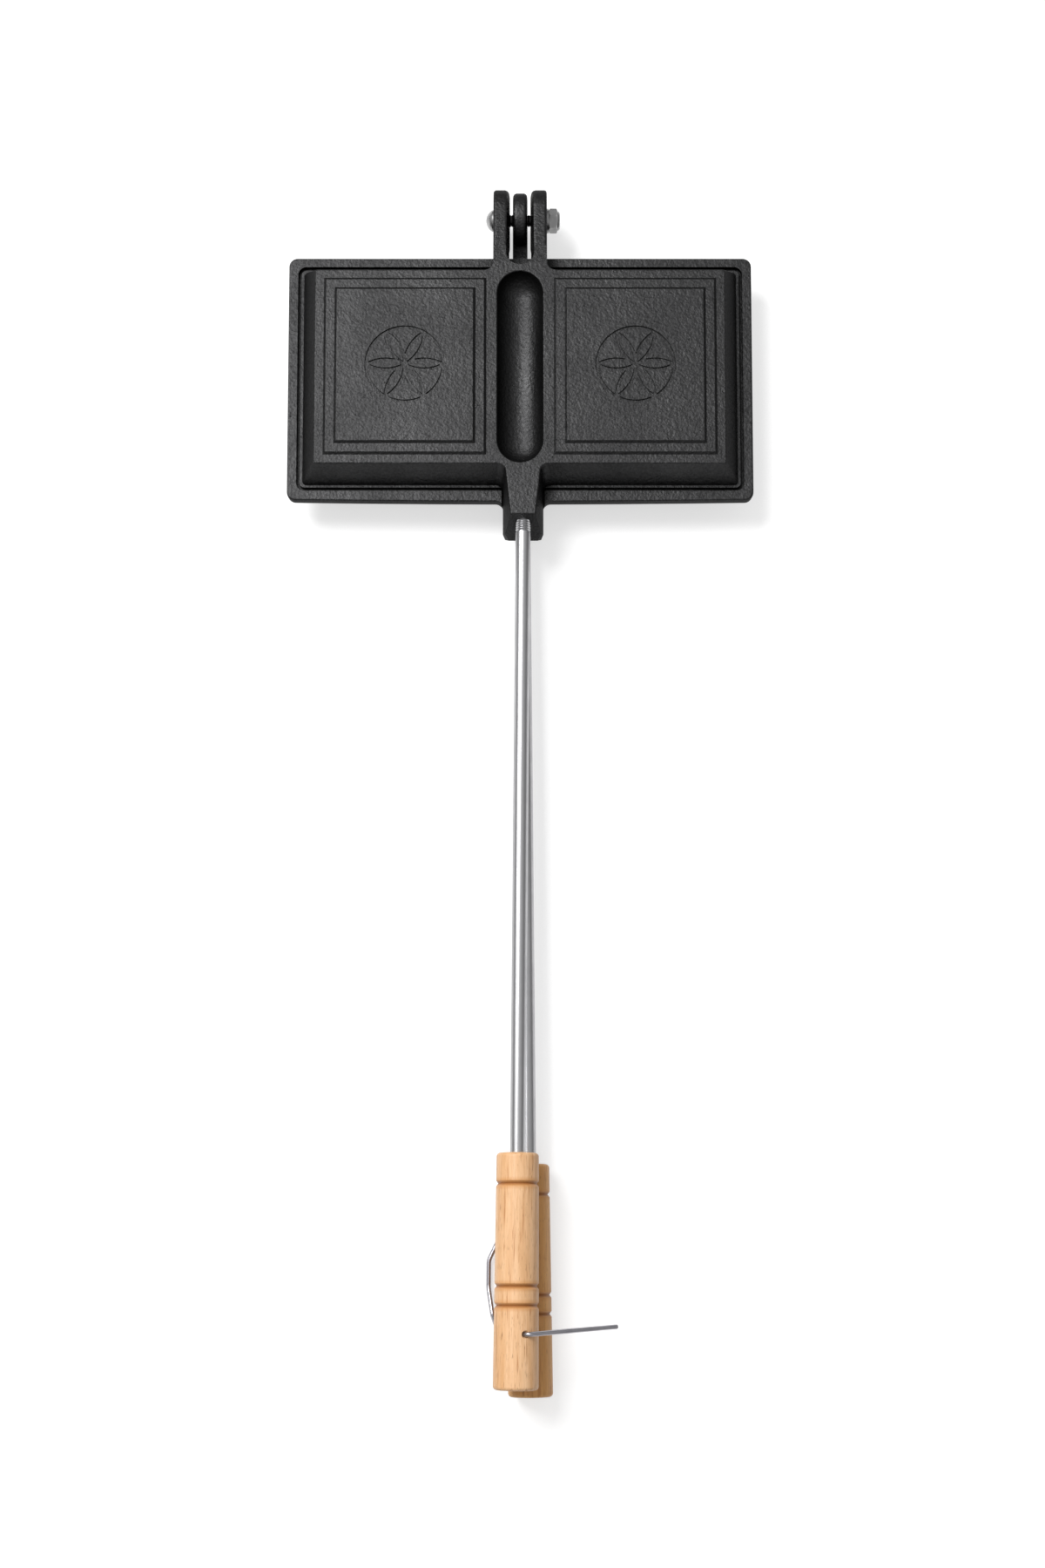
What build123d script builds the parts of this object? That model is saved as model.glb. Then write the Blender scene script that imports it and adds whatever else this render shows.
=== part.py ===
from build123d import *

import math
import os

# A double pie iron: two hinged cast-iron halves on long steel rods with turned wooden grips and a wire latch.
# Millimetres. While it is built, the hinge axis is the X axis, the two halves meet in the plane Z = 0,
# and the rods and grips run towards -Y. place_on_ground() then sets the whole iron on its resting plane.

# Plates: the outside of one half is a drafted block with a flat face that carries two panels and a trough
flat_width = 219.2           # the flat face, across both panels
flat_depth = 107.2           # the flat face, from the hinge side to the handle side
plate_height = 19.0          # from the parting plane to the flat face
side_run = 8.6               # how far the two side walls lean outwards over that height
front_run = 6.8              # the same for the hinge-side and handle-side walls
flat_corner = 1.4            # corner radius of the flat face in plan
foot_corner = 2.2            # corner radius at the foot of the walls
wall = 4.6                   # horizontal thickness of the walls
floor_thickness = 4.0        # thickness behind the flat face
edge_round = 0.9             # rounding of the cast edges
pan_round = 2.0              # rounding round the floor of the pans

# Panels: two raised steps on the outside, with the same steps sunk behind them on the inside
panel_margin = 4.7           # flat face left outside the outer step
panel_trough_gap = 5.8       # flat face left between the outer step and the trough
step_height = 1.1
step_inset = 5.8             # from the outer step to the inner one
step_slope = 50.0            # degrees that a riser leans from upright
step_round = 0.35            # rounding of the steps' upper edges
rosette_radius = 20.5        # engraved six-petal rosette in the middle of each panel
rosette_line = 1.8           # width of its engraved lines
rosette_depth = 0.8

# Trough between the panels, whose underside is the rib that parts the two sandwiches
trough_radius = 12.2
trough_length = 105.6
trough_wall = 4.6
trough_round = 0.7           # rounding of its edge

# Edges: the upper half has a narrow ledge, which the lower half's lip surrounds
ledge_width = 0.6
ledge_height = 2.2
ledge_round = 0.3
lip_gap = 1.7                # between the ledge and the lip
lip_width = 5.0
lip_height = 2.5             # above the parting plane
flange_thickness = 3.2       # of the lower half's flange, below the parting plane
flange_corner = 4.6
flange_crown = 1.0           # how far the flange's handle-side edge bows out in its middle

# Hinge: two ears on the upper half, a tongue on the lower half and a bolt through the three
hinge_to_flange = 22.4       # from the bolt's axis to the corner line of the flange
ear_radius = 15.7
ear_span = 28.9              # across both ears, at the parting plane
slot_width = 11.2            # between the ears, at the parting plane
slot_draft = 6.2             # degrees, so that the slot widens upwards and downwards
slot_end = 31.5              # from the bolt's axis to the slot's round end, at the parting plane
ear_chin = math.radians(40)  # where the arm's underside meets the eye, below level
ear_lift = 0.5               # clearance of the ears over the lip
tongue_radius = 14.1
tongue_thickness = 8.0       # at the parting plane
tongue_draft = 3.5           # degrees
root_round = 4.2             # plan radius where ears, tongue and necks spring from the plates
flare_share = 0.98           # of that radius, where the flange flares into the lower neck
ear_round = 1.5              # rounding of the ears' outer rims
ear_slot_round = 3.0         # rounding of their rims beside the slot
tongue_round = 2.4           # rounding of the tongue's eye

bolt_diameter = 6.35
bolt_head_diameter = 11.0
bolt_head_rim = 0.9          # straight part of the head, under its dome
bolt_head_height = 4.1
nut_flats = 11.1             # across flats
nut_hex_height = 4.6
nut_collar_diameter = 10.2
nut_height = 6.0             # with its rounded locking collar
nut_collar_round = 1.6
nut_corner_trim = 0.5
bolt_plain = 8.0             # where the thread starts, left of the middle
bolt_pitch = 1.27
bolt_thread_depth = 0.5
bolt_tip_chamfer = 0.5
washer_diameter = 12.7
washer_thickness = 1.2
running_clearance = 0.08     # radial, where a shaft turns in a hole
fixed_clearance = 0.05       # radial, where a screwed or pressed shank sits in its hole

# Necks, which hold the rods
neck_width = 21.8            # at the parting plane
neck_root_width = 18.4       # at the level of the flat face, beside the plate
neck_top_width = 13.2        # at the same level, at the neck's end
neck_reach = 21.9            # beyond the corner line of the flange, at the parting plane
neck_end_run = 8.3           # how far the neck's end face leans back
neck_chamfer = 3.3
neck_offset = 1.6            # of the necks to the right of the plates' middle
neck_notch_gap = 0.8         # between the upper neck and the gap in the lip

# Rods and grips
rod_diameter = 8.0
rod_level = 12.2             # the rods' axes, above and below the parting plane
rod_splay = 0.48             # degrees, the upper rod to the left and the lower one to the right
rod_socket = 22.0            # depth that a rod is screwed into its neck
rod_thread = 27.6            # length of the thread, part of which stays outside the neck
thread_pitch = 1.25
thread_depth = 0.5
rod_free_length = 334.7      # upper rod, from the neck's end face to the grip
lower_rod_extra = 4.8        # how much longer the lower rod is
rod_in_grip = 62.0
rod_lead = 0.8               # plain or chamfered lead at the rods' ends
socket_end_gap = 0.5         # left at the blind end of each socket
grip_length = 121.1
grip_front_diameter = 21.8
grip_rear_diameter = 23.5
grip_end_round = 2.0
groove_places = (15.9, 68.3, 78.2)   # burnt grooves, from the front of the grip
groove_width = 3.0
groove_depth = 1.1

# Latch: one bent wire through the upper grip, with a lever above and a hook that swings under the lower grip
wire_diameter = 2.5
latch_place = 92.6           # from the front of the upper grip
latch_tilt = 24.5            # degrees from upright, so that the wire passes beside the lower grip
latch_mouth_diameter = 4.3
latch_mouth_depth = 1.4
wire_end_round = 0.5
wire_bend = 2.8              # centre-line radius of the tight bends
wire_stand_off = 0.5         # of the lever above the grip
lever_length = 51.5
lever_turn = 4.3             # degrees that the lever points from square towards the hinge
hook_straight = 10.5         # straight leg under the grip
hook_knee = (8.6, 18.6)      # run and drop of the slanting leg's end, from where the wire leaves the grip
hook_drop = 24.2             # depth of the hook's crossing leg
hook_flat_start = 23.0       # where the crossing leg starts, in the same run
hook_reach = 37.4            # where its tip starts to curl
hook_tip = (5.5, 13.4, 3.0)  # sideways, forward and upward reach of the curled tip
hook_bend = 7.6

# What follows from these
foot_width = flat_width + 2 * side_run
foot_depth = flat_depth + 2 * front_run
ledge_size = (foot_width + 2 * ledge_width, foot_depth + 2 * ledge_width)
lip_inner = (ledge_size[0] + 2 * lip_gap, ledge_size[1] + 2 * lip_gap)
flange_width = lip_inner[0] + 2 * lip_width
flange_depth = lip_inner[1] + 2 * lip_width
plate_y = -hinge_to_flange - flange_depth / 2
flat_hinge_y = plate_y + flat_depth / 2
flat_handle_y = plate_y - flat_depth / 2
foot_hinge_y = plate_y + foot_depth / 2
foot_handle_y = plate_y - foot_depth / 2
neck_end_y = plate_y - flange_depth / 2 - neck_reach
neck_draft = math.degrees(math.atan2((neck_width - neck_root_width) / 2, plate_height))
panel_depth = flat_depth - 2 * panel_margin
panel_inner_x = trough_radius + panel_trough_gap
panel_width = flat_width / 2 - panel_margin - panel_inner_x
panel_x = panel_inner_x + panel_width / 2
rod_mouth_y = neck_end_y + neck_end_run * rod_level / plate_height
BOTTOM = (Align.CENTER, Align.CENTER, Align.MIN)
clear_reach = 4.0            # how far a cutter runs past what it cuts


def block(width, depth, corner, z):
    """A rounded rectangle over the plates' middle, at height z."""
    return Plane.XY.offset(z) * Pos(0, plate_y) * RectangleRounded(width, depth, corner)


def drafted_block(inset, height):
    """The plate's outside shape, or with an inset the pan inside it, up to a height."""
    share = height / plate_height
    foot = block(foot_width - 2 * inset, foot_depth - 2 * inset, foot_corner, 0)
    top = block(
        foot_width - 2 * inset - 2 * side_run * share,
        foot_depth - 2 * inset - 2 * front_run * share,
        foot_corner + (flat_corner - foot_corner) * share,
        height,
    )
    return loft([foot, top], ruled=True)


def rounded_top(shape, radius):
    """The shape with the edges of its topmost face rounded."""
    return fillet(shape.edges().group_by(Axis.Z)[-1], radius)


def panel_steps(base_z):
    """Two raised steps for each panel, standing on base_z."""
    steps = Part()
    for side in (-1, 1):
        for level in (0, 1):
            inset = level * step_inset
            outline = Rectangle(panel_width - 2 * inset, panel_depth - 2 * inset)
            place = Pos(side * panel_x, plate_y, base_z + level * step_height)
            steps += place * rounded_top(extrude(outline, step_height, taper=step_slope), step_round)
    return steps


def rosette_lines():
    """A ring with six petals inside it, all drawn with one compass setting."""
    ring = Circle(rosette_radius + rosette_line / 2) - Circle(rosette_radius - rosette_line / 2)
    lines = ring
    for turn in range(6):
        arc = Rot(0, 0, 60 * turn) * Pos(rosette_radius, 0) * ring
        lines += arc & Circle(rosette_radius)
    return lines


def rosettes():
    """Cutters that engrave a rosette in the middle of each panel."""
    face_z = plate_height + 2 * step_height
    cutters = Part()
    for side in (-1, 1):
        place = Pos(side * panel_x, plate_y, face_z - rosette_depth)
        cutters += place * extrude(rosette_lines(), 2 * rosette_depth)
    return cutters


def trough():
    """Round-bottomed trough with round ends and a rounded edge, to be cut into the flat face."""
    half_run = trough_length / 2 - trough_radius
    reach = trough_radius + trough_round
    edge_x = math.sqrt(reach**2 - trough_round**2)
    blend = (edge_x * trough_radius / reach, -trough_round * trough_radius / reach)
    outline = Curve() + [
        Polyline((0, -trough_radius), (0, trough_round), (edge_x, trough_round), (edge_x, 0)),
        RadiusArc((edge_x, 0), blend, -trough_round),
        RadiusArc(blend, (0, -trough_radius), trough_radius),
    ]
    half = Plane.XZ * make_face(outline)
    bowl = revolve(half, Axis.Z)
    shape = extrude(half + mirror(half, about=Plane.YZ), half_run, both=True)
    shape += Pos(0, half_run, 0) * bowl + Pos(0, -half_run, 0) * bowl
    return Pos(0, plate_y, plate_height) * shape


def pan():
    """The hollow of one half: two sandwich pans with stepped floors, parted by the trough's rib."""
    floor_z = plate_height - floor_thickness
    hollow = rounded_top(drafted_block(wall, floor_z), pan_round)
    hollow += panel_steps(floor_z)
    rib = Rot(90, 0, 0) * Cylinder(trough_radius + trough_wall, foot_depth)
    return hollow - Pos(0, plate_y, plate_height) * rib


def root_outline(half_width, end_half_width, root_y, end_y, side, z):
    """A bar in plan that springs from the plate at root_y with round corners and narrows to end_y.

    side is 1 towards the hinge and -1 towards the handle.
    """
    bend_y = root_y + side * root_round
    back_y = root_y - side * root_round
    wide = half_width + root_round
    right = [
        Line((wide, back_y), (wide, root_y)),
        RadiusArc((wide, root_y), (half_width, bend_y), side * root_round),
        Line((half_width, bend_y), (end_half_width, end_y)),
    ]
    left = [mirror(edge, about=Plane.YZ) for edge in right]
    ends = [Line((-wide, back_y), (wide, back_y)), Line((-end_half_width, end_y), (end_half_width, end_y))]
    return Plane.XY.offset(z) * make_face(Curve() + right + left + ends)


def neck():
    """A drafted neck on the handle side, springing from the plate's wall, with a leaning end face."""
    top_end_y = neck_end_y + neck_end_run
    foot = root_outline(neck_width / 2, neck_width / 2, foot_handle_y, neck_end_y, -1, 0)
    top = root_outline(neck_root_width / 2, neck_top_width / 2, flat_handle_y, top_end_y, -1, plate_height)
    bar = loft([foot, top], ruled=True)
    post = extrude(Rectangle(neck_chamfer * math.sqrt(2), neck_chamfer * math.sqrt(2), rotation=45), plate_height)
    for hand in (-1, 1):
        bar -= Pos(hand * neck_width / 2, neck_end_y) * post
    return Pos(neck_offset, 0, 0) * bar


def rod_frame(hand):
    """Where a rod leaves its neck: local Z runs along the rod to the grip, local Y stays upright.

    hand is 1 for the upper rod and -1 for the lower one.
    """
    return Pos(neck_offset, rod_mouth_y, hand * rod_level) * Rot(0, 0, -hand * rod_splay) * Rot(90, 0, 0)


def rod_socket_hole(hand):
    """The blind hole for a rod, open past the neck's leaning face."""
    depth = rod_socket + socket_end_gap
    hole = Cylinder(rod_diameter / 2 + fixed_clearance, depth + neck_end_run, align=BOTTOM)
    return rod_frame(hand) * Pos(0, 0, -depth) * hole


def bolt_hole(clearance):
    """A hole along the hinge axis, through all that lies on it."""
    return Rot(0, 90, 0) * Cylinder(bolt_diameter / 2 + clearance, 2 * ear_span)


def draft_wedge(half_width, draft):
    """All that lies between two flanks that lean inwards, upwards and downwards, from the parting plane."""
    height = plate_height + ear_radius
    narrow = half_width - height * math.tan(math.radians(draft))
    return extrude(Plane.XZ * hexagon_section(half_width, narrow, height), flange_depth, both=True)


def hexagon_section(half_width, far_half_width, height):
    """A section that changes evenly in width above and below the parting plane."""
    corners = [(half_width, 0), (far_half_width, height), (-far_half_width, height)]
    corners += [(-x, -z) for x, z in corners]
    return make_face(Polyline(*corners, close=True))


def slot():
    """The slot between the ears, with a round end, widening upwards and downwards."""
    half = slot_width / 2
    height = plate_height + step_height
    wide = half + height * math.tan(math.radians(slot_draft))
    centre_y = -slot_end + half
    run = ear_radius + clear_reach - centre_y
    cutter = Pos(0, centre_y + run, 0) * extrude(Plane.XZ * hexagon_section(half, wide, height), run)
    cutter += Pos(0, centre_y, height / 2) * Cone(half, wide, height)
    return cutter + Pos(0, centre_y, -height / 2) * Cone(wide, half, height)


def ear_profile():
    """Side view of an ear and its arm, whose top runs straight into the round of the eye."""
    under = lip_height + ear_lift
    arm_top = (flat_hinge_y + root_round, plate_height)
    steepness = math.atan2(arm_top[1], arm_top[0]) - math.acos(ear_radius / math.hypot(*arm_top))
    meet = (ear_radius * math.cos(steepness), ear_radius * math.sin(steepness))
    chin = (-ear_radius * math.cos(ear_chin), -ear_radius * math.sin(ear_chin))
    foot = [(plate_y, plate_height), (plate_y, under), (-hinge_to_flange + ear_lift, under)]
    sides = Polyline(meet, arm_top, *foot, chin)
    return Plane.YZ * make_face(Curve() + [sides, ThreePointArc(chin, (ear_radius, 0), meet)])


def ears():
    """Both ears of the upper half, sprung from its hinge-side wall, with the slot for the tongue."""
    under = lip_height + ear_lift
    thickness = (ear_span - slot_width) / 2
    ear = Pos((slot_width + thickness) / 2, 0, 0) * extrude(ear_profile(), thickness / 2, both=True)
    ear = fillet(eye_rim(ear, ear_span / 2), ear_round)
    ear = fillet(eye_rim(ear, slot_width / 2), ear_slot_round)
    bars = ear + mirror(ear, about=Plane.YZ) + extrude(ear_profile(), slot_width / 2, both=True)
    wall_y = foot_hinge_y - front_run * under / plate_height
    low = root_outline(ear_span / 2, ear_span / 2, wall_y, -hinge_to_flange, 1, under)
    high = root_outline(ear_span / 2, ear_span / 2, flat_hinge_y, -hinge_to_flange, 1, plate_height)
    roots = loft([low, high], ruled=True) & extrude(ear_profile(), ear_span, both=True)
    return bars + roots - slot()


def eye_rim(ear, side_x):
    """The round rim of an ear's flank at side_x."""
    rims = ear.edges().filter_by(GeomType.CIRCLE)
    return [rim for rim in rims if abs(rim.center().X - side_x) < ear_round / 2]


def tongue():
    """The tongue of the lower half, which turns between the ears: a rounded eye on an arm."""
    inner_y = -hinge_to_flange - lip_width
    profile = Polyline(
        (plate_y, -plate_height),
        (flat_hinge_y, -plate_height),
        (0, -tongue_radius),
        (0, 0),
        (-tongue_radius, 0),
        (-hinge_to_flange, lip_height),
        (inner_y, lip_height),
        (inner_y, 0),
        (plate_y, 0),
        close=True,
    )
    eye = Cylinder(tongue_radius, tongue_thickness)
    eye = fillet(eye.edges().filter_by(GeomType.CIRCLE), tongue_round)
    bar = extrude(Plane.YZ * make_face(profile), tongue_thickness / 2, both=True) + Rot(0, 90, 0) * eye
    return bar & draft_wedge(tongue_thickness / 2, tongue_draft)


def half_shell(arm):
    """What both halves share: the drafted block with its engraved panels, trough and neck.

    arm is the ears or the tongue, which the trough cuts into as well.
    """
    shell = rounded_top(drafted_block(0, plate_height) + neck(), edge_round)
    shell += panel_steps(plate_height)
    shell -= rosettes()
    return shell + arm - trough()


def upper_plate():
    """The upper half, with a narrow ledge round its foot and the hinge ears."""
    ledge = extrude(block(*ledge_size, foot_corner + ledge_width, 0), ledge_height)
    plate = half_shell(ears()) + rounded_top(ledge, ledge_round)
    plate -= pan()
    plate -= rod_socket_hole(1)
    return plate - bolt_hole(fixed_clearance)


def flange_outline():
    """The lower half's flange in plan: its handle-side edge bows out and flares into the lower neck."""
    half_x = flange_width / 2
    hinge_y = -hinge_to_flange
    handle_y = hinge_y - flange_depth
    edge_y = handle_y - flange_crown
    edges = Curve() + [
        Line((-half_x, handle_y), (-half_x, hinge_y)),
        Line((-half_x, hinge_y), (half_x, hinge_y)),
        Line((half_x, hinge_y), (half_x, handle_y)),
        ThreePointArc((half_x, handle_y), (0, edge_y), (-half_x, handle_y)),
    ]
    face = make_face(edges)
    face = fillet(face.vertices(), flange_corner)
    face += Pos(neck_offset, edge_y) * Rectangle(neck_width, 2 * root_round)
    near_root = face.vertices().sort_by_distance((neck_offset, edge_y))
    inner = [vertex for vertex in near_root if vertex.Y > edge_y - root_round / 2][:2]
    return fillet(inner, flare_share * root_round)


def flange():
    """The flange, drafted as the lower neck is, so that their sides run into each other."""
    return extrude(flange_outline(), -flange_thickness, taper=neck_draft)


def lip():
    """The raised lip that surrounds the upper half's ledge, open where the upper neck passes."""
    ring = rounded_top(extrude(flange_outline(), lip_height), edge_round)
    ring -= extrude(block(*lip_inner, foot_corner + ledge_width + lip_gap, 0), lip_height)
    notch = Box(neck_width + 2 * neck_notch_gap, neck_reach, 2 * lip_height)
    return ring - Pos(neck_offset, foot_handle_y - neck_reach / 2, 0) * notch


def lower_plate():
    """The lower half, with its flange, lip and hinge tongue."""
    plate = mirror(half_shell(mirror(tongue(), about=Plane.XY)), about=Plane.XY)
    plate += flange() + lip()
    plate -= mirror(pan(), about=Plane.XY)
    plate -= rod_socket_hole(-1)
    return plate - bolt_hole(running_clearance)


def threaded_side(radius, start, end, pitch, depth):
    """Points down the side of a threaded shank, as rings of V grooves from start to end."""
    turns = round((end - start) / pitch)
    points = []
    for turn in range(turns):
        crest = start + turn * pitch
        points += [(radius, crest), (radius - depth, crest + pitch / 2)]
    return points + [(radius, start + turns * pitch)]


def hinge_bolt():
    """Round-headed bolt, its head against the left ear and its end inside the nut's collar."""
    seat = ear_span / 2
    tip = seat + washer_thickness + nut_height - nut_collar_round
    rim = bolt_head_diameter / 2
    side = threaded_side(bolt_diameter / 2, -bolt_plain, tip - bolt_tip_chamfer, bolt_pitch, bolt_thread_depth)
    outline = [(0, -seat - bolt_head_height), (0, tip), (bolt_diameter / 2 - bolt_tip_chamfer, tip)]
    outline += reversed(side)
    outline += [(bolt_diameter / 2, -seat), (rim, -seat), (rim, -seat - bolt_head_rim)]
    dome = RadiusArc((rim, -seat - bolt_head_rim), (0, -seat - bolt_head_height), dome_radius())
    profile = make_face(Curve() + [Polyline(*outline), dome])
    return Rot(0, 90, 0) * revolve(Plane.XZ * profile, Axis.Z)


def dome_radius():
    """Radius of the bolt head's dome, from its diameter and rise."""
    rise = bolt_head_height - bolt_head_rim
    half = bolt_head_diameter / 2
    return (half**2 + rise**2) / (2 * rise)


def hinge_washer():
    """Flat washer between the right ear and the nut."""
    ring = Cylinder(washer_diameter / 2, washer_thickness, align=BOTTOM)
    ring -= Cylinder(bolt_diameter / 2 + fixed_clearance, washer_thickness, align=BOTTOM)
    return Pos(ear_span / 2, 0, 0) * Rot(0, 90, 0) * ring


def hinge_nut():
    """Lock nut: a hexagon with trimmed corners and a rounded collar."""
    corner = nut_flats / math.sqrt(3)
    hexagon = extrude(RegularPolygon(corner, 6), nut_hex_height)
    trim = Cylinder(corner, nut_hex_height, align=BOTTOM)
    trim = chamfer(trim.edges().filter_by(GeomType.CIRCLE), nut_corner_trim, nut_corner_trim * 2)
    collar = Cylinder(nut_collar_diameter / 2, nut_height, align=BOTTOM)
    nut = (hexagon & trim) + rounded_top(collar, nut_collar_round)
    nut -= Cylinder(bolt_diameter / 2 + fixed_clearance, nut_height, align=BOTTOM)
    return Pos(ear_span / 2 + washer_thickness, 0, 0) * Rot(0, 90, 0) * nut


def rod(hand):
    """A steel rod, threaded where it is screwed into its neck."""
    radius = rod_diameter / 2
    end = grip_front(hand) + rod_in_grip
    side = threaded_side(radius, rod_lead - rod_socket, rod_thread - rod_socket, thread_pitch, thread_depth)
    points = [(0, -rod_socket), (radius - thread_depth, -rod_socket)]
    points += side + [(radius, end - rod_lead), (radius - rod_lead, end), (0, end)]
    profile = make_face(Polyline(*points, close=True))
    return rod_frame(hand) * revolve(Plane.XZ * profile, Axis.Z)


def grip_front(hand):
    """Distance from the neck to the front of a grip, along its rod."""
    return rod_free_length + (lower_rod_extra if hand < 0 else 0)


def grip_radius(place):
    """Radius of a grip at a distance from its front."""
    return (grip_front_diameter + (grip_rear_diameter - grip_front_diameter) * place / grip_length) / 2


def grip(hand):
    """A turned wooden grip with burnt grooves and a blind bore for its rod."""
    points = [(0, 0), (grip_radius(0), 0)]
    for place in groove_places:
        front = place - groove_width / 2
        back = place + groove_width / 2
        points += [
            (grip_radius(front), front),
            (grip_radius(place) - groove_depth, place),
            (grip_radius(back), back),
        ]
    points += [(grip_radius(grip_length), grip_length), (0, grip_length)]
    body = revolve(Plane.XZ * make_face(Polyline(*points, close=True)), Axis.Z)
    rims = body.edges().group_by(Axis.Z)
    body = fillet([*rims[0], *rims[-1]], grip_end_round)
    body -= Cylinder(rod_diameter / 2 + fixed_clearance, rod_in_grip + socket_end_gap, align=BOTTOM)
    return rod_frame(hand) * Pos(0, 0, grip_front(hand)) * body


def latch_frame():
    """Where the latch's pivot crosses the upper grip's axis.

    Local Z runs up along the pivot, local X to the right across the grip and local Y towards the hinge.
    """
    tilt = math.radians(latch_tilt)
    up = (math.sin(tilt), math.cos(tilt), 0)
    right = (math.cos(tilt), -math.sin(tilt), 0)
    turned = Location(Plane(origin=(0, 0, 0), x_dir=right, z_dir=up))
    return rod_frame(1) * Pos(0, 0, grip_front(1) + latch_place) * turned


def latch_hole():
    """The wire's hole across the upper grip, with a worn cone at each mouth."""
    bore_radius = wire_diameter / 2 + running_clearance
    mouth_radius = latch_mouth_diameter / 2
    surface = grip_radius(latch_place)
    hole = Cylinder(bore_radius, 4 * surface)
    for side in (0, 180):
        depth = 2 * latch_mouth_depth
        cone = Cone(bore_radius, 2 * mouth_radius - bore_radius, depth, align=BOTTOM)
        hole += Rot(side, 0, 0) * Pos(0, 0, surface - latch_mouth_depth) * cone
    return latch_frame() * hole


def latch_wire():
    """One bent wire: a lever over the upper grip, the pivot through it and the hook below."""
    surface = grip_radius(latch_place)
    lever_z = surface + wire_stand_off + wire_diameter / 2
    turn = math.radians(lever_turn)
    crossing_z = -surface - hook_drop
    tip_side, tip_forward, tip_rise = hook_tip
    points = [
        (lever_length * math.cos(turn), lever_length * math.sin(turn), lever_z),
        (0, 0, lever_z),
        (0, 0, -surface - hook_straight),
        (0, hook_knee[0], -surface - hook_knee[1]),
        (0, hook_flat_start, crossing_z),
        (0, hook_reach, crossing_z),
        (tip_side, hook_reach + tip_forward, crossing_z + tip_rise),
    ]
    path = FilletPolyline(*points, radius=[wire_bend] + [hook_bend] * (len(points) - 3))
    start = Plane(origin=path @ 0, z_dir=path % 0)
    wire = sweep(start * Circle(wire_diameter / 2), path=path)
    ends = [wire.faces().sort_by_distance(path @ place)[0] for place in (0, 1)]
    wire = fillet([edge for end in ends for edge in end.edges()], wire_end_round)
    return latch_frame() * wire


def place_on_ground(pieces):
    """Sets the whole iron over the origin: the middle of its bounding box in plan, its lowest point at Z = 0."""
    boxes = [piece.bounding_box() for piece in pieces.values()]
    middle_x = (min(box.min.X for box in boxes) + max(box.max.X for box in boxes)) / 2
    middle_y = (min(box.min.Y for box in boxes) + max(box.max.Y for box in boxes)) / 2
    bottom = min(box.min.Z for box in boxes)
    return {name: Pos(-middle_x, -middle_y, -bottom) * piece for name, piece in pieces.items()}


def pie_iron():
    """Every piece of the closed iron, by name."""
    pieces = {
        "lower_plate": lower_plate(),
        "lower_rod": rod(-1),
        "lower_grip": grip(-1),
        "upper_plate": upper_plate(),
        "upper_rod": rod(1),
        "upper_grip": grip(1) - latch_hole(),
        "hinge_bolt": hinge_bolt(),
        "hinge_washer": hinge_washer(),
        "hinge_nut": hinge_nut(),
        "latch_wire": latch_wire(),
    }
    return place_on_ground(pieces)


os.makedirs("parts", exist_ok=True)
for name, piece in pie_iron().items():
    export_step(piece, f"parts/{name}.step")
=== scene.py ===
# %% [markdown]
# # A cast-iron pie iron on long steel rods
# The iron's solids come from its CAD model, at their real size and in metres, and none of them needs a
# new shape. This script gives each of them the surface that the real thing has: sand-cast iron with a
# seasoned skin, drawn steel rod, zinc-plated fasteners, satin wire and turned wood with burnt grooves.
# Then it sets up the studio.

# %% Load the frame
import math
import bpy
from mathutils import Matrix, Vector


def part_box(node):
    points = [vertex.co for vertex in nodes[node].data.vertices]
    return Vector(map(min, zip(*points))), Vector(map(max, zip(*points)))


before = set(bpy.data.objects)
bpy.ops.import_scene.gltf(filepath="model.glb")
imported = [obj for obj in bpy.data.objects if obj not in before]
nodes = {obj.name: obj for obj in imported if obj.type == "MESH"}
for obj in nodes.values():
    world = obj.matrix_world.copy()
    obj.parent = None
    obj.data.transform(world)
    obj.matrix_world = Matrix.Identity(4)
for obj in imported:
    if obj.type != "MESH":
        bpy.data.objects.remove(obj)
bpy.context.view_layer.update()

# %% [markdown]
# ## Small helpers for shader nodes
# A material is a graph of nodes. Its nodes could be made and linked one by one, but that hides the idea
# of a finish in many lines. With one call for a node and all its inputs, a finish reads like a recipe,
# and every input is set by its own name.

# %% Nodes and their inputs
MM = 0.001


def set_inputs(tree, node, values):
    """Sets or links a node's inputs, by name or by number."""
    for name, value in values.items():
        if isinstance(value, bpy.types.NodeSocket):
            tree.links.new(value, node.inputs[name])
        else:
            node.inputs[name].default_value = value


def add_node(tree, kind, inputs=None, **settings):
    """Adds a node, sets its properties, and sets or links its inputs."""
    node = tree.nodes.new(kind)
    for name, value in settings.items():
        setattr(node, name, value)
    set_inputs(tree, node, inputs or {})
    return node


# %% Sums and blends
def calculate(tree, operation, first, second=0.0):
    """One arithmetic step between two values."""
    return add_node(tree, "ShaderNodeMath", {0: first, 1: second}, operation=operation).outputs[0]


def remap(tree, value, low, high, to_low=0.0, to_high=1.0):
    """Stretches the span from low to high onto another one, and stops at its ends."""
    inputs = {"Value": value, "From Min": low, "From Max": high, "To Min": to_low, "To Max": to_high}
    return add_node(tree, "ShaderNodeMapRange", inputs).outputs["Result"]


def blend_colours(tree, share, low, high):
    """A colour between two others, by a share from 0 to 1."""
    mix = add_node(tree, "ShaderNodeMix", data_type="RGBA")
    set_inputs(tree, mix, {0: share, 6: low, 7: high})
    return mix.outputs[2]


def stain_with(tree, mask, strength, colour, stain):
    """A colour that turns into a stain's colour where a mask is 1, up to a strength."""
    return blend_colours(tree, calculate(tree, "MULTIPLY", mask, strength), colour, (*stain, 1))


# %% Groups and materials
SOCKET_KINDS = {"float": "NodeSocketFloat", "vector": "NodeSocketVector"}


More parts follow.
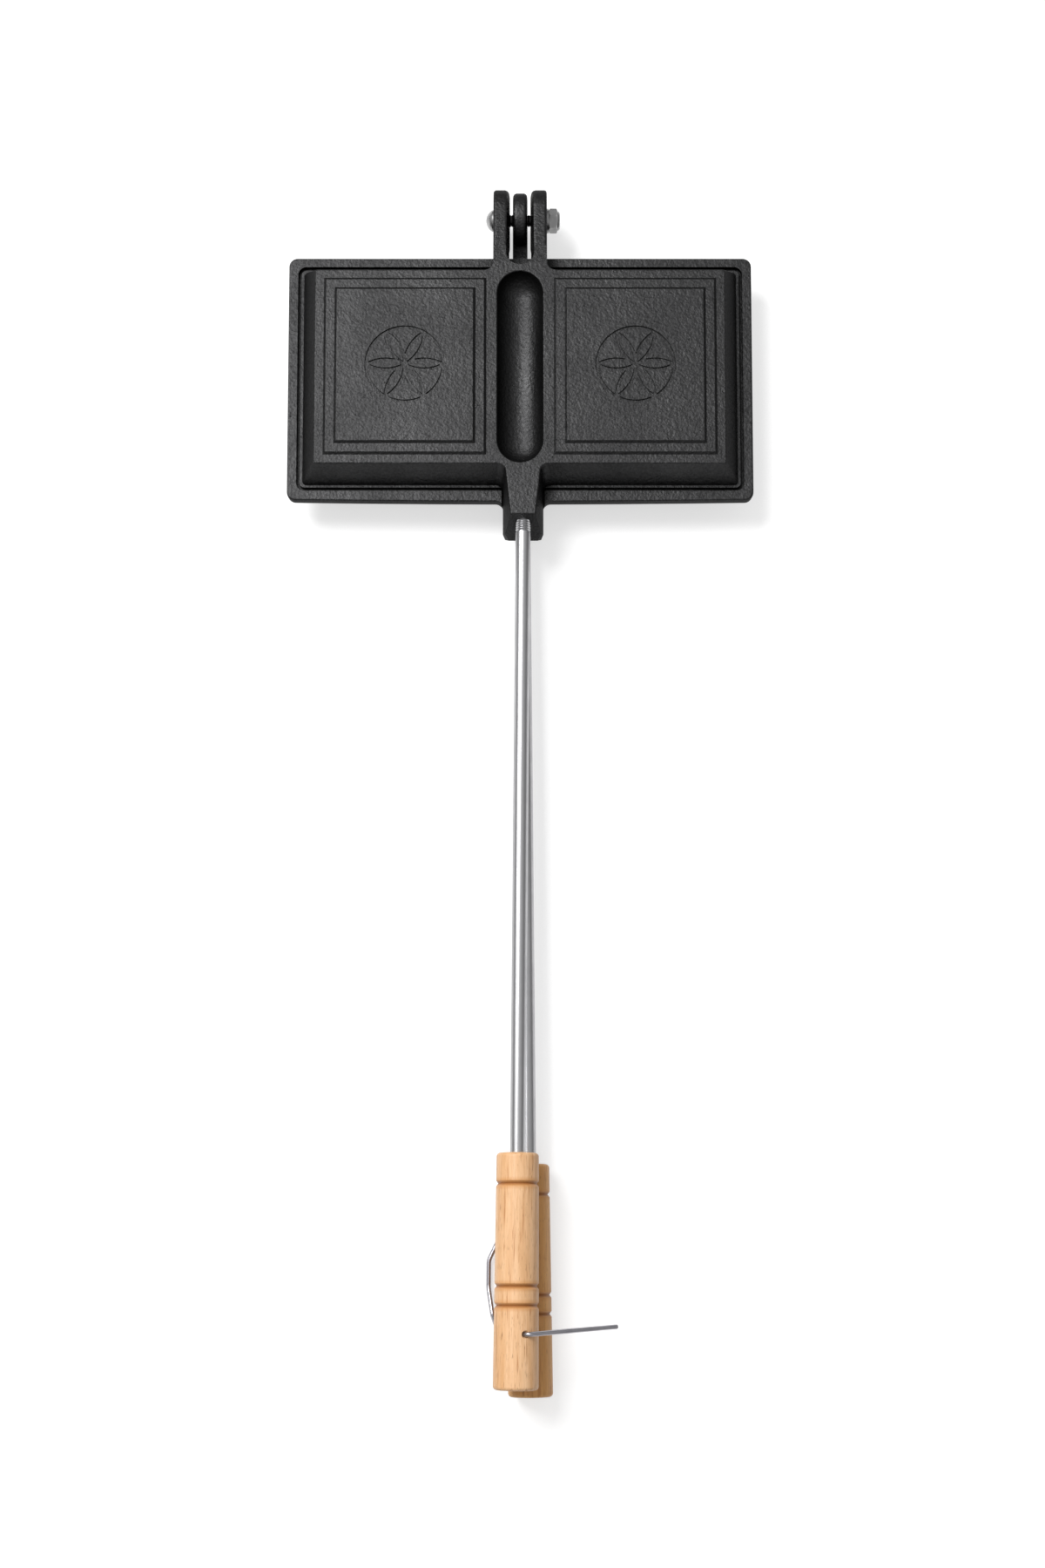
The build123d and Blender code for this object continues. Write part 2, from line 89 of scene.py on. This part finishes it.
def new_group(name, inputs, outputs):
    """A shader node group with named inputs, each with a kind and a default, and named float outputs."""
    group = bpy.data.node_groups.new(name, "ShaderNodeTree")
    for socket, (kind, default) in inputs.items():
        made = group.interface.new_socket(socket, in_out="INPUT", socket_type=SOCKET_KINDS[kind])
        made.default_value = default
    for socket in outputs:
        group.interface.new_socket(socket, in_out="OUTPUT", socket_type=SOCKET_KINDS["float"])
    return group, add_node(group, "NodeGroupInput").outputs


def close_group(group, results):
    """Links a group's results to its outputs."""
    add_node(group, "NodeGroupOutput", results)
    print("group", group.name, "puts out", list(results))
    return group


def use_group(tree, group, inputs):
    """Places a group in a material with its own values."""
    holder = tree.nodes.new("ShaderNodeGroup")
    holder.node_tree = group
    set_inputs(tree, holder, inputs)
    return holder.outputs


def new_material(name):
    """A material with only its shader, its output and Object coordinates."""
    material = bpy.data.materials.new(name)
    material.use_nodes = True
    tree = material.node_tree
    tree.nodes.clear()
    shader = add_node(tree, "ShaderNodeBsdfPrincipled")
    add_node(tree, "ShaderNodeOutputMaterial", {"Surface": shader.outputs["BSDF"]})
    place = add_node(tree, "ShaderNodeTexCoord").outputs["Object"]
    return material, tree, shader, place


# %% [markdown]
# ## The skin of sand-cast iron
# Molten iron copies the sand of its mould, so the surface is a dense field of rounded grains, with
# lumps and some larger pits where sand broke away. Seasoning is baked oil: it lies thicker in some
# places, which shows as soft clouds. One noise could stand for all of this, but the eye sees grain,
# lumps and clouds as separate things, so each has its own scale.

# %% Casting group
GRAIN_SIZE = 1.3 * MM
PIT_SIZE = 3.2 * MM
CLOUD_SCALE = 30.0
LUMP_HEIGHT = 0.9
PIT_DEPTH = 0.8


def make_casting_group():
    group, given = new_group(
        "sand_casting",
        {
            "Place": ("vector", (0, 0, 0)),
            "Grain Size": ("float", GRAIN_SIZE),
            "Pit Size": ("float", PIT_SIZE),
        },
        ("Height", "Grain", "Clouds"),
    )

    def noise(scale, detail, roughness):
        inputs = {"Vector": given["Place"], "Scale": scale, "Detail": detail, "Roughness": roughness}
        return add_node(group, "ShaderNodeTexNoise", inputs).outputs["Fac"]

    pit_scale = calculate(group, "DIVIDE", 1.0, given["Pit Size"])
    grain = noise(calculate(group, "DIVIDE", 1.0, given["Grain Size"]), 3.0, 0.6)
    lumps = noise(pit_scale, 2.0, 0.5)
    clouds = noise(CLOUD_SCALE, 3.0, 0.55)
    cells = add_node(
        group, "ShaderNodeTexVoronoi",
        {"Vector": given["Place"], "Scale": calculate(group, "MULTIPLY", pit_scale, 0.8), "Randomness": 1.0},
    ).outputs["Distance"]
    pits = calculate(group, "MULTIPLY", remap(group, cells, 0.16, 0.02), remap(group, lumps, 0.5, 0.62))
    height = calculate(group, "ADD", grain, calculate(group, "MULTIPLY", lumps, LUMP_HEIGHT))
    height = calculate(group, "SUBTRACT", height, calculate(group, "MULTIPLY", pits, PIT_DEPTH))
    return close_group(group, {
        "Height": height,
        "Grain": remap(group, grain, 0.36, 0.64),
        "Clouds": remap(group, clouds, 0.3, 0.7),
    })


casting = make_casting_group()

# %% [markdown]
# ## Seasoned cast iron
# Seasoned iron is nearly black, and what is seen of it is mostly what it mirrors. A dark plastic would
# mirror far too much at a slant, and its walls would look as pale as the floor beside them. So the iron
# is a metal with a very dark colour, and a grey Specular Tint keeps it dark at a slant too. Where the iron
# is hemmed in, in the slot and along the feet of the walls, shade is painted into its colour: ambient
# occlusion finds those places on any shape and blends the colour towards near black.

# %% Cast iron
THIN_OIL_COLOUR = (0.028, 0.028, 0.0285, 1)
THICK_OIL_COLOUR = (0.036, 0.036, 0.0365, 1)
THIN_OIL_ROUGHNESS = 0.52
THICK_OIL_ROUGHNESS = 0.42
GRAIN_COLOUR = (0.058, 0.058, 0.059)
GRAIN_DEPTH = 0.35 * MM
SLANT_TINT = (0.5, 0.5, 0.5, 1)
# painted shade: the near-black colour that hollows and wall feet are blended towards, and how far ambient
# occlusion looks
PAINTED_SHADE_COLOUR = (0.008, 0.008, 0.008, 1)
PAINTED_SHADE_REACH = 14 * MM


def make_cast_iron():
    material, tree, shader, place = new_material("cast_iron")
    skin = use_group(tree, casting, {"Place": place})
    colour = blend_colours(tree, skin["Clouds"], THIN_OIL_COLOUR, THICK_OIL_COLOUR)
    colour = stain_with(tree, skin["Grain"], 0.5, colour, GRAIN_COLOUR)
    # painted shade: ambient occlusion darkens the colour in the slot and at the feet of the walls
    open_share = add_node(
        tree, "ShaderNodeAmbientOcclusion", {"Distance": PAINTED_SHADE_REACH}, samples=8
    ).outputs["AO"]
    colour = blend_colours(tree, remap(tree, open_share, 0.15, 0.75), PAINTED_SHADE_COLOUR, colour)
    bump = add_node(
        tree, "ShaderNodeBump", {"Height": skin["Height"], "Strength": 0.9, "Distance": GRAIN_DEPTH}
    )
    set_inputs(tree, shader, {
        "Base Color": colour,
        "Metallic": 1.0,
        "Specular Tint": SLANT_TINT,
        "Roughness": remap(tree, skin["Clouds"], 0.0, 1.0, THIN_OIL_ROUGHNESS, THICK_OIL_ROUGHNESS),
        "Normal": bump.outputs["Normal"],
    })
    return material


cast_iron = make_cast_iron()
print("cast iron:", len(cast_iron.node_tree.nodes), "nodes")

# %% [markdown]
# ## Drawn and plated steel
# A rod is pulled through a die, which leaves fine lines along it. An image of such lines would need a
# map for each piece. Noise that is stretched along the rod's length gives them on any round piece, and
# the wire and the fasteners use the same group with other sizes and other tones.

# %% Drawn metal group
LINE_LENGTH = 40 * MM
STAIN_SCALE = 90.0


def make_drawn_group():
    group, given = new_group(
        "drawn_metal",
        {"Place": ("vector", (0, 0, 0)), "Line Width": ("float", 0.4 * MM)},
        ("Height", "Stain"),
    )
    across = calculate(group, "DIVIDE", 1.0, given["Line Width"])
    scale = add_node(
        group, "ShaderNodeCombineXYZ", {"X": across, "Y": 1 / LINE_LENGTH, "Z": across}
    ).outputs["Vector"]
    stretched = add_node(
        group, "ShaderNodeVectorMath", {0: given["Place"], 1: scale}, operation="MULTIPLY"
    ).outputs["Vector"]
    lines = add_node(
        group, "ShaderNodeTexNoise", {"Vector": stretched, "Scale": 1.0, "Detail": 2.0}
    ).outputs["Fac"]
    stain = add_node(
        group, "ShaderNodeTexNoise",
        {"Vector": given["Place"], "Scale": STAIN_SCALE, "Detail": 3.0, "Roughness": 0.55},
    ).outputs["Fac"]
    return close_group(group, {"Height": lines, "Stain": remap(group, stain, 0.3, 0.75)})


drawn_metal = make_drawn_group()

# %% Steel finishes
def make_steel(name, bright, dull, roughness, line_width, line_depth):
    """A steel with a bright and a dull tone, a range of roughness, and lines of one width and depth."""
    material, tree, shader, place = new_material(name)
    marks = use_group(tree, drawn_metal, {"Place": place, "Line Width": line_width})
    bump = add_node(
        tree, "ShaderNodeBump", {"Height": marks["Height"], "Strength": 0.25, "Distance": line_depth}
    )
    set_inputs(tree, shader, {
        "Base Color": blend_colours(tree, marks["Stain"], (*bright, 1), (*dull, 1)),
        "Metallic": 1.0,
        "Roughness": remap(tree, marks["Stain"], 0.0, 1.0, *roughness),
        "Normal": bump.outputs["Normal"],
    })
    return material


rod_steel = make_steel(
    "rod_steel", (0.46, 0.46, 0.47), (0.40, 0.40, 0.41), (0.33, 0.41), 0.4 * MM, 0.004 * MM
)
bolt_steel = make_steel(
    "bolt_steel", (0.46, 0.46, 0.46), (0.26, 0.26, 0.26), (0.28, 0.46), 0.6 * MM, 0.02 * MM
)
wire_steel = make_steel(
    "wire_steel", (0.48, 0.47, 0.50), (0.34, 0.33, 0.36), (0.28, 0.40), 0.4 * MM, 0.01 * MM
)
print("steels:", [steel.name for steel in (rod_steel, bolt_steel, wire_steel)])

# %% [markdown]
# ## Turned wood
# The grips are turned from a pale, open-pored hardwood. Along the grain there are four things to show:
# broad bands of growth, fine fibres, brown streaks, and dark pores a few millimetres long. Rings of a
# log would also do, but a grip is so slim that its rings run almost straight, so stretched noise is
# closer. Each grip is given its own tones, as if the two came from different boards.

# %% Wood group
def make_wood_group():
    group, given = new_group(
        "turned_wood",
        {"Place": ("vector", (0, 0, 0)), "Seed": ("float", 0.0)},
        ("Bands", "Fibres", "Pores", "Streaks"),
    )
    shift = add_node(
        group, "ShaderNodeCombineXYZ", {"X": given["Seed"], "Y": given["Seed"], "Z": 0.0}
    ).outputs["Vector"]

    def stretched_noise(across, along, detail, roughness, distortion):
        """Noise whose patches are so wide across the grain and so long along it."""
        scaled = add_node(
            group, "ShaderNodeVectorMath",
            {0: given["Place"], 1: (1 / across, 1 / along, 1 / across)}, operation="MULTIPLY",
        ).outputs["Vector"]
        moved = add_node(group, "ShaderNodeVectorMath", {0: scaled, 1: shift}).outputs["Vector"]
        inputs = {"Vector": moved, "Scale": 1.0, "Detail": detail}
        inputs.update({"Roughness": roughness, "Distortion": distortion})
        return add_node(group, "ShaderNodeTexNoise", inputs).outputs["Fac"]

    bands = stretched_noise(4.5 * MM, 90 * MM, 3.0, 0.55, 0.6)
    fibres = stretched_noise(0.45 * MM, 9 * MM, 3.0, 0.6, 0.0)
    pores = stretched_noise(0.35 * MM, 5 * MM, 1.0, 0.5, 0.0)
    broad_streaks = remap(group, stretched_noise(1.9 * MM, 34 * MM, 3.0, 0.6, 0.5), 0.56, 0.70)
    fine_streaks = remap(group, stretched_noise(0.7 * MM, 17 * MM, 2.0, 0.5, 0.2), 0.62, 0.72)
    return close_group(group, {
        "Bands": remap(group, bands, 0.32, 0.68),
        "Fibres": remap(group, fibres, 0.3, 0.7),
        "Pores": remap(group, pores, 0.66, 0.76),
        "Streaks": calculate(group, "MAXIMUM", broad_streaks, fine_streaks),
    })


turned_wood = make_wood_group()

# %% [markdown]
# ## Burnt grooves
# Grooves like these are burnt in with a taut wire while the grip turns, so each has a dark line at its
# bottom and a scorched halo that fades along the grip. Both could be painted, but the grooves' places
# in the CAD model are known, so masks by distance from them are exact, and they follow each grip by its
# front end.

# %% Groove masks
GROOVES = (15.9 * MM, 68.3 * MM, 78.2 * MM)
GROOVE_CORE = 0.2 * MM


def near_groove(tree, place, front_y, reach):
    """A mask of 1 in the middle of each burnt groove, fading out at a distance along the grip."""
    along = add_node(tree, "ShaderNodeSeparateXYZ", {"Vector": place}).outputs["Y"]
    mask = 0.0
    for groove in GROOVES:
        distance = calculate(tree, "ABSOLUTE", calculate(tree, "SUBTRACT", along, front_y - groove))
        mask = calculate(tree, "MAXIMUM", mask, remap(tree, distance, reach, GROOVE_CORE))
    return mask


# %% Wood of one grip
PORE_DEPTH = 0.06 * MM
GRAIN_STAINS = {  # strength and colour of each mark
    "Fibres": (0.4, (0.50, 0.27, 0.115)),
    "Streaks": (0.75, (0.40, 0.165, 0.05)),
    "Pores": (0.75, (0.17, 0.07, 0.025)),
}
BURN_STAINS = (  # reach, strength and colour of the halo, then of the dark line
    (3.4 * MM, 1.0, (0.56, 0.25, 0.07)),
    (1.5 * MM, 0.75, (0.22, 0.075, 0.02)),
)


def make_grip_wood(name, front_y, seed, pale, deep):
    """The wood of a grip, with its own seed and its own pale and deep tone."""
    material, tree, shader, place = new_material(name)
    wood = use_group(tree, turned_wood, {"Place": place, "Seed": seed})
    colour = blend_colours(tree, wood["Bands"], (*deep, 1), (*pale, 1))
    for mark, (strength, stain) in GRAIN_STAINS.items():
        colour = stain_with(tree, wood[mark], strength, colour, stain)
    for reach, strength, stain in BURN_STAINS:
        burn = near_groove(tree, place, front_y, reach)
        colour = stain_with(tree, burn, strength, colour, stain)
    relief = calculate(tree, "SUBTRACT", calculate(tree, "MULTIPLY", wood["Fibres"], 0.4), wood["Pores"])
    bump = add_node(tree, "ShaderNodeBump", {"Height": relief, "Strength": 0.35, "Distance": PORE_DEPTH})
    set_inputs(tree, shader, {
        "Base Color": colour,
        "Roughness": remap(tree, wood["Fibres"], 0.0, 1.0, 0.40, 0.52),
        "Specular IOR Level": 0.4,
        "Normal": bump.outputs["Normal"],
    })
    return material


# %% The two grips
GRIP_TONES = (  # grip, seed, pale tone and deep tone
    ("upper_grip", 3.0, (0.82, 0.53, 0.31), (0.68, 0.38, 0.18)),
    ("lower_grip", 11.0, (0.74, 0.39, 0.13), (0.56, 0.27, 0.08)),
)
grip_woods = {
    name: make_grip_wood(name + "_wood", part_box(name)[1].y, seed, pale, deep)
    for name, seed, pale, deep in GRIP_TONES
}
print("grip woods:", sorted(grip_woods))

# %% [markdown]
# ## Finishes on the pieces
# Every piece keeps its CAD mesh and gets one material in its first slot. A table of names and finishes
# shows at a glance that no piece is forgotten.

# %% Give every piece its finish
finishes = {
    "upper_plate": cast_iron,
    "lower_plate": cast_iron,
    "upper_rod": rod_steel,
    "lower_rod": rod_steel,
    "hinge_bolt": bolt_steel,
    "hinge_washer": bolt_steel,
    "hinge_nut": bolt_steel,
    "latch_wire": wire_steel,
    **grip_woods,
}
for name, material in finishes.items():
    nodes[name].data.materials.clear()
    nodes[name].data.materials.append(material)
print("finished nodes:", len(finishes), "of", len(nodes))

# %% [markdown]
# ## The floor
# The iron lies on pale paper. More light would make the paper white but wash out the wood, so the paper
# is a mid tone with a glow that only the camera, mirrors and glass see. It reads as white and keeps the
# iron's own soft shadow.

# %% Floor
FLOOR_SIZE = 6.0
FLOOR_COLOUR = 0.50
FLOOR_GLOW = 0.60


def make_floor_paper():
    material = bpy.data.materials.new("floor_paper")
    material.use_nodes = True
    tree = material.node_tree
    tree.nodes.clear()
    tone = (FLOOR_COLOUR, FLOOR_COLOUR, FLOOR_COLOUR, 1)
    paper = add_node(tree, "ShaderNodeBsdfDiffuse", {"Color": tone}).outputs["BSDF"]
    path = add_node(tree, "ShaderNodeLightPath").outputs
    seen = calculate(tree, "MAXIMUM", path["Is Camera Ray"], path["Is Glossy Ray"])
    seen = calculate(tree, "MAXIMUM", seen, path["Is Transmission Ray"])
    glow = add_node(tree, "ShaderNodeEmission", {"Strength": calculate(tree, "MULTIPLY", seen, FLOOR_GLOW)})
    both = add_node(tree, "ShaderNodeAddShader", {0: paper, 1: glow.outputs["Emission"]})
    add_node(tree, "ShaderNodeOutputMaterial", {"Surface": both.outputs["Shader"]})
    return material


bpy.ops.object.select_all(action="DESELECT")
bpy.ops.mesh.primitive_plane_add(size=FLOOR_SIZE, location=(0, 0, 0))
floor = bpy.context.object
floor.name = "floor"
floor.data.materials.append(make_floor_paper())
print("floor:", FLOOR_SIZE, "m square")

# %% [markdown]
# ## The lamp and the surroundings
# Iron this dark is lit by what it mirrors, so the place of a lamp matters more than its power. One soft
# lamp hangs up and to the left. The surroundings are bright overhead and fade to grey at the horizon:
# the flat faces mirror the bright part, the steep walls mirror the grey part, and the shape stands out.
# An even white world would be simpler, but it flattens every step of the casting.

# %% Lamp
KEY_DIRECTION = (-0.50, 0.30, 1.0)
KEY_DISTANCE = 2.2
KEY_SIZE = 1.0
KEY_POWER = 56.0


def add_softbox(name, direction, distance, size, power):
    """A square area lamp that looks at the head of the iron from a direction."""
    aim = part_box("upper_plate")
    target = (aim[0] + aim[1]) / 2
    length = math.sqrt(sum(value * value for value in direction))
    lamp = bpy.data.lights.new(name, "AREA")
    lamp.shape = "SQUARE"
    lamp.size = size
    lamp.energy = power
    holder = bpy.data.objects.new(name, lamp)
    holder.location = [t + value / length * distance for t, value in zip(target, direction)]
    holder.rotation_euler = (target - holder.location).to_track_quat("-Z", "Y").to_euler()
    bpy.context.scene.collection.objects.link(holder)
    return holder


key = add_softbox("key_lamp", KEY_DIRECTION, KEY_DISTANCE, KEY_SIZE, KEY_POWER)
print("lamp:", key.name, "at", [round(value, 3) for value in key.location])

# %% Surroundings
HORIZON_GREY = 0.16
OVERHEAD_WHITE = 0.75
FADE_START = 0.25
FADE_END = 0.95


def make_surroundings():
    world = bpy.data.worlds.new("studio")
    world.use_nodes = True
    tree = world.node_tree
    direction = add_node(tree, "ShaderNodeTexCoord").outputs["Generated"]
    height = add_node(tree, "ShaderNodeSeparateXYZ", {"Vector": direction}).outputs["Z"]
    set_inputs(tree, tree.nodes["Background"], {
        "Color": (1, 1, 1, 1),
        "Strength": remap(tree, height, FADE_START, FADE_END, HORIZON_GREY, OVERHEAD_WHITE),
    })
    bpy.context.scene.world = world
    return world


surroundings = make_surroundings()
print("surroundings:", surroundings.name)

# %% [markdown]
# ## The camera
# The view is almost straight down, from 1.17 m above the floor and over the grips. The camera leans a
# little towards the head, and its lens is shifted to bring the whole head into the frame. A camera that
# leans further would need no shift, but it would narrow the head against the grips.

# %% Camera
CAMERA_PLACE = (1.27 * MM, -258.5 * MM, 1169.94 * MM)
CAMERA_TILT = math.radians(6.0)
CAMERA_SHIFT = 0.1614
FOCAL_LENGTH = 50.454
SENSOR_WIDTH = 36.0
CLIP_START = 0.05

camera_data = bpy.data.cameras.new("camera")
camera_data.lens = FOCAL_LENGTH
camera_data.sensor_width = SENSOR_WIDTH
camera_data.shift_y = CAMERA_SHIFT
camera_data.clip_start = CLIP_START
camera = bpy.data.objects.new("camera", camera_data)
camera.location = CAMERA_PLACE
camera.rotation_euler = (CAMERA_TILT, 0, 0)
bpy.context.scene.collection.objects.link(camera)
bpy.context.scene.camera = camera
bpy.context.scene.view_settings.view_transform = "Standard"
print("camera:", round(camera_data.lens, 3), "mm lens, shift", round(camera_data.shift_y, 4))
